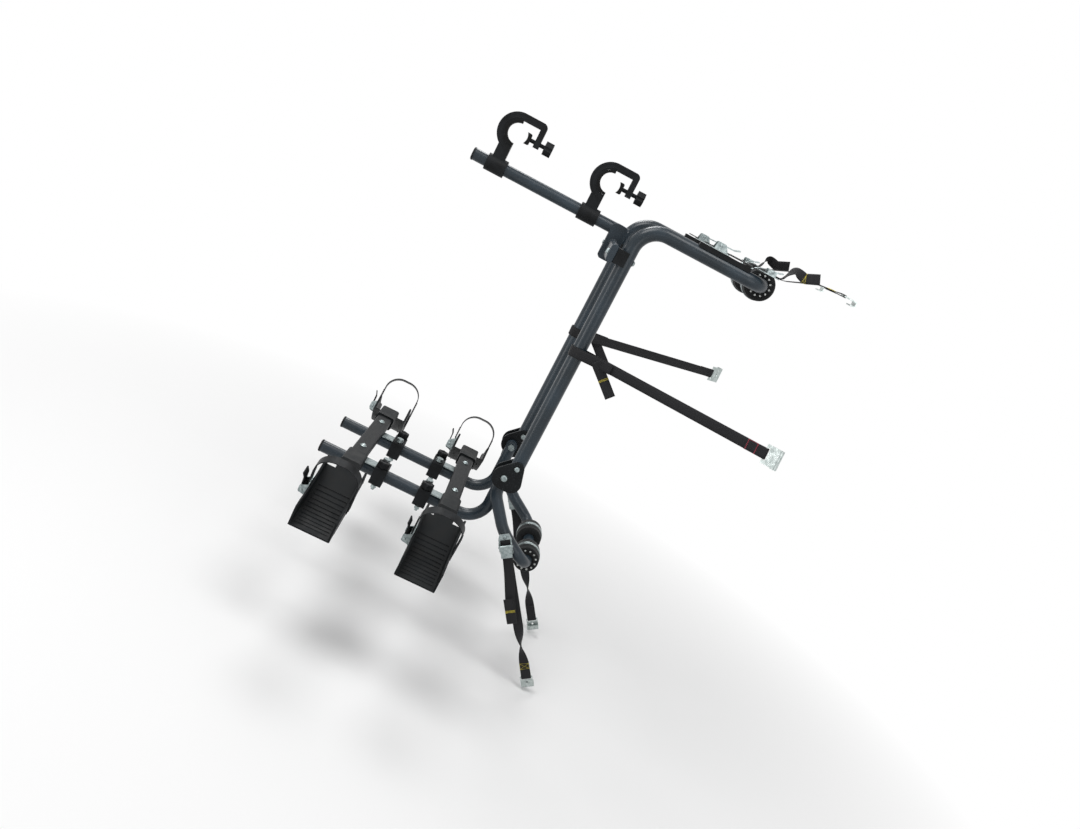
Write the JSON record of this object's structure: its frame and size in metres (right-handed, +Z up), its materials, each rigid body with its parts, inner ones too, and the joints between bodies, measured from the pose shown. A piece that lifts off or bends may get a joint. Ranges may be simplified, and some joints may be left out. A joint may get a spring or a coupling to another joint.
{
  "type": "bike carrier",
  "caption": "Strap-on rear bike carrier: bent-tube hoops with foam pads, folding wheel platform with cups and toothed straps, holding arm with frame clamps.",
  "frame": {"origin": "middle of the joint axis, where the hoops and the platform meet, in the carrier's middle plane", "axes": "+Z up along the uprights, +Y toward the car, X across the car, positive on the car's right"},
  "size_m": [0.9804, 0.9758, 1.2663],
  "materials": {
    "tube_paint": "satin blue-grey paint",
    "plate_paint": "black satin paint",
    "zinc": "pale zinc plate, satin",
    "rail_black": "black anodised, satin",
    "black_plastic": "fine grain",
    "cup_plastic": "smooth, half gloss",
    "toothed_plastic": "smooth with pale worn teeth",
    "soft_rubber": "matt",
    "foam": "matt cellular foam",
    "webbing": "woven black webbing"
  },
  "bodies": {
    "hoop": {"upper_hoop": "tube_paint", "crossbar": "tube_paint", "crossbar_saddles": "black_plastic", "holding_arm": "tube_paint", "holding_arm_cap": "black_plastic", "joint_plates": "plate_paint", "joint_bolts": "zinc", "upper_pads": "foam", "upper_pad_bands": "zinc", "arm_strap_guides": "black_plastic", "arm_toothed_straps": "toothed_plastic", "arm_ratchets": "zinc", "top_buckles": "zinc", "top_straps": "webbing", "side_straps": "webbing", "upper_hooks": "zinc"},
    "lower": {"lower_hoop": "tube_paint", "lower_pads": "foam", "lower_pad_bands": "zinc", "lower_buckles": "zinc", "lower_straps": "webbing", "lower_hooks": "zinc"},
    "platform": {"platform_tube_right": "tube_paint", "platform_tube_left": "tube_paint", "platform_end_caps": "black_plastic"},
    "outer_carrier": {"outer_rail": "rail_black", "outer_rail_brackets": "zinc", "outer_tube_clamps": "black_plastic", "outer_tube_clamp_screws": "zinc", "outer_cup_right": "cup_plastic", "outer_cup_left": "cup_plastic", "outer_wheel_straps": "toothed_plastic", "outer_wheel_ratchets": "zinc"},
    "outer_wheel_lever_right": {"outer_wheel_lever_right": "black_plastic"},
    "outer_wheel_lever_left": {"outer_wheel_lever_left": "black_plastic"},
    "outer_clamp": {"outer_clamp_body": "black_plastic", "outer_clamp_seat": "soft_rubber"},
    "outer_shoe": {"outer_clamp_shoe": "soft_rubber"},
    "outer_screw": {"outer_clamp_screw": "black_plastic"},
    "inner_carrier": {"inner_rail": "rail_black", "inner_rail_brackets": "zinc", "inner_tube_clamps": "black_plastic", "inner_tube_clamp_screws": "zinc", "inner_cup_right": "cup_plastic", "inner_cup_left": "cup_plastic", "inner_wheel_straps": "toothed_plastic", "inner_wheel_ratchets": "zinc"},
    "inner_wheel_lever_right": {"inner_wheel_lever_right": "black_plastic"},
    "inner_wheel_lever_left": {"inner_wheel_lever_left": "black_plastic"},
    "inner_clamp": {"inner_clamp_body": "black_plastic", "inner_clamp_seat": "soft_rubber"},
    "inner_shoe": {"inner_clamp_shoe": "soft_rubber"},
    "inner_screw": {"inner_clamp_screw": "black_plastic"},
    "arm_lever_right": {"arm_lever_right": "zinc"},
    "top_lever_right": {"top_lever_right": "zinc"},
    "lower_lever_right": {"lower_lever_right": "zinc"},
    "arm_lever_left": {"arm_lever_left": "zinc"},
    "top_lever_left": {"top_lever_left": "zinc"},
    "lower_lever_left": {"lower_lever_left": "zinc"}
  },
  "joints": [
    {"name": "lower_hoop_pivot", "type": "hinge", "parent": "hoop", "child": "lower", "pos_m": [0, 0, 0], "axis": [1, 0, 0], "range_deg": [-30, 60]},
    {"name": "platform_fold", "type": "hinge", "parent": "hoop", "child": "platform", "pos_m": [0, 0, 0], "axis": [-1, 0, 0], "range_deg": [0, 85]},
    {"name": "outer_rail_slide", "type": "slide", "parent": "platform", "child": "outer_carrier", "axis": [0, 1, 0], "range_m": [-0.03, 0.03]},
    {"name": "outer_wheel_lever_right_turn", "type": "hinge", "parent": "outer_carrier", "child": "outer_wheel_lever_right", "pos_m": [0.39444, -0.4007, -0.15325], "axis": [0.9135, 0, -0.4067], "range_deg": [0, 75]},
    {"name": "outer_wheel_lever_left_turn", "type": "hinge", "parent": "outer_carrier", "child": "outer_wheel_lever_left", "pos_m": [-0.39444, -0.4007, -0.15325], "axis": [0.9135, 0, 0.4067], "range_deg": [0, 75]},
    {"name": "outer_clamp_slide", "type": "slide", "parent": "hoop", "child": "outer_clamp", "axis": [0, 1, 0], "range_m": [-0.03, 0.04]},
    {"name": "outer_shoe_slide", "type": "slide", "parent": "outer_clamp", "child": "outer_shoe", "axis": [0, 1, 0], "range_m": [-0.01, 0.01]},
    {"name": "outer_screw_turn", "type": "hinge", "parent": "outer_shoe", "child": "outer_screw", "pos_m": [0, -0.34, 0.732], "axis": [0, 1, 0], "range_deg": [-1201, 1201]},
    {"name": "inner_rail_slide", "type": "slide", "parent": "platform", "child": "inner_carrier", "axis": [0, 1, 0], "range_m": [-0.03, 0.01]},
    {"name": "inner_wheel_lever_right_turn", "type": "hinge", "parent": "inner_carrier", "child": "inner_wheel_lever_right", "pos_m": [0.39444, -0.1507, -0.15325], "axis": [0.9135, 0, -0.4067], "range_deg": [0, 75]},
    {"name": "inner_wheel_lever_left_turn", "type": "hinge", "parent": "inner_carrier", "child": "inner_wheel_lever_left", "pos_m": [-0.39444, -0.1507, -0.15325], "axis": [0.9135, 0, 0.4067], "range_deg": [0, 75]},
    {"name": "inner_clamp_slide", "type": "slide", "parent": "hoop", "child": "inner_clamp", "axis": [0, 1, 0], "range_m": [-0.04, 0.02]},
    {"name": "inner_shoe_slide", "type": "slide", "parent": "inner_clamp", "child": "inner_shoe", "axis": [0, 1, 0], "range_m": [-0.01, 0.01]},
    {"name": "inner_screw_turn", "type": "hinge", "parent": "inner_shoe", "child": "inner_screw", "pos_m": [0, -0.09, 0.732], "axis": [0, 1, 0], "range_deg": [-1201, 1201]},
    {"name": "arm_lever_right_turn", "type": "hinge", "parent": "hoop", "child": "arm_lever_right", "pos_m": [0.16, 0.195, 0.7252], "axis": [1, 0, 0], "range_deg": [0, 75]},
    {"name": "top_lever_right_turn", "type": "hinge", "parent": "hoop", "child": "top_lever_right", "pos_m": [0.16, 0.33, 0.727], "axis": [1, 0, 0], "range_deg": [0, 70]},
    {"name": "lower_lever_right_turn", "type": "hinge", "parent": "lower", "child": "lower_lever_right", "pos_m": [0.1845, 0.08209, -0.15591], "axis": [0, -0.8222, -0.5692], "range_deg": [0, 70]},
    {"name": "arm_lever_left_turn", "type": "hinge", "parent": "hoop", "child": "arm_lever_left", "pos_m": [-0.16, 0.195, 0.7252], "axis": [1, 0, 0], "range_deg": [0, 75]},
    {"name": "top_lever_left_turn", "type": "hinge", "parent": "hoop", "child": "top_lever_left", "pos_m": [-0.16, 0.33, 0.727], "axis": [1, 0, 0], "range_deg": [0, 70]},
    {"name": "lower_lever_left_turn", "type": "hinge", "parent": "lower", "child": "lower_lever_left", "pos_m": [-0.1845, 0.08209, -0.15591], "axis": [0, 0.8222, 0.5692], "range_deg": [0, 70]}
  ],
  "couplings": [
    {"joint": "outer_screw_turn", "follows": "outer_shoe_slide", "rad_per_m": 2094.4},
    {"joint": "inner_screw_turn", "follows": "inner_shoe_slide", "rad_per_m": 2094.4}
  ]
}
